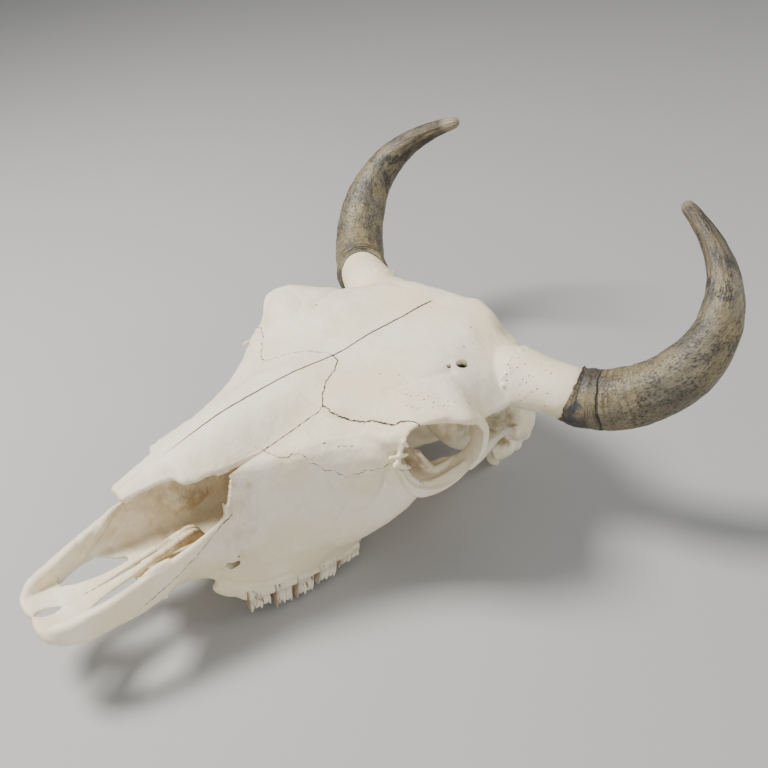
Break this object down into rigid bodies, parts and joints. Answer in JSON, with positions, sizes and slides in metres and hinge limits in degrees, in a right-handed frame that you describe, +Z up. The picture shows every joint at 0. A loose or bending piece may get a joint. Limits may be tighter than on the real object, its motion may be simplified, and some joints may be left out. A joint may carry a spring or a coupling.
{
  "type": "bison skull",
  "caption": "Weathered bison cow skull without lower jaw, parted into its named bones, with two curved horn sheaths on bony cores.",
  "frame": {"origin": "on the floor, under the middle of the skull's bounding box", "axes": "+X to the animal's left, -Y towards the tip of the nose, +Z up; the skull is mirror-symmetric about the plane X = 0"},
  "size_m": [0.4866, 0.5804, 0.2556],
  "materials": {
    "bone": "dry, weathered off-white bone",
    "horn": "weathered grey-brown horn"
  },
  "bodies": {
    "root": {"premaxilla_left": "bone", "premaxilla_right": "bone", "maxilla_left": "bone", "maxilla_right": "bone", "nasal_left": "bone", "nasal_right": "bone", "lacrimal_left": "bone", "lacrimal_right": "bone", "zygomatic_left": "bone", "zygomatic_right": "bone", "frontal_left": "bone", "frontal_right": "bone", "palatine_left": "bone", "palatine_right": "bone", "temporal_left": "bone", "temporal_right": "bone", "braincase": "bone", "occipital": "bone", "horn_sheath_left": "horn", "horn_sheath_right": "horn"}
  },
  "joints": []
}
